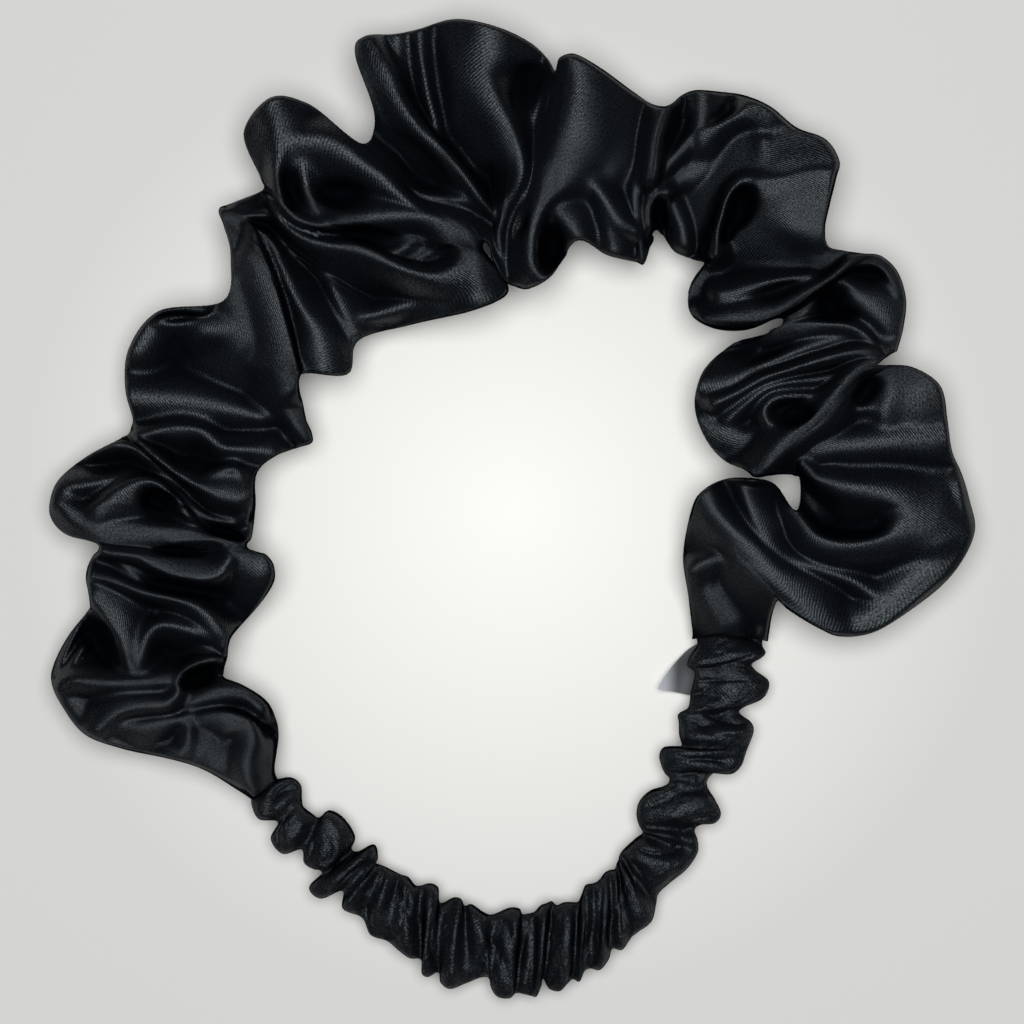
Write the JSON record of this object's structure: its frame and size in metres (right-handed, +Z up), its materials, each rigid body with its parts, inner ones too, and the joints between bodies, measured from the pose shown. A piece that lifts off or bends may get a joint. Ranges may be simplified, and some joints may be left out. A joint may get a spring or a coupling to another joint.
{
  "type": "ruffled headband",
  "caption": "Ruffled satin headband: a wide gathered tube round the crown and a narrow shirred elastic casing along the nape, lying flat as one open loop.",
  "frame": {"origin": "on the surface that the headband lies on, under the middle of its outline", "axes": "+Y from the nape casing to the top of the ruffle, +X to the side where the ruffle's end meets the label, +Z up, away from the surface"},
  "size_m": [0.198, 0.21, 0.0225],
  "materials": {
    "black_satin": "black satin with a soft blue-grey sheen",
    "casing_satin": "the same black satin, tightly shirred",
    "elastic": "black braided elastic",
    "label_tape": "white woven tape, blank"
  },
  "bodies": {
    "root": {"ruffle": "black_satin", "elastic_casing": "casing_satin", "elastic_band": "elastic", "care_label": "label_tape"}
  },
  "joints": []
}
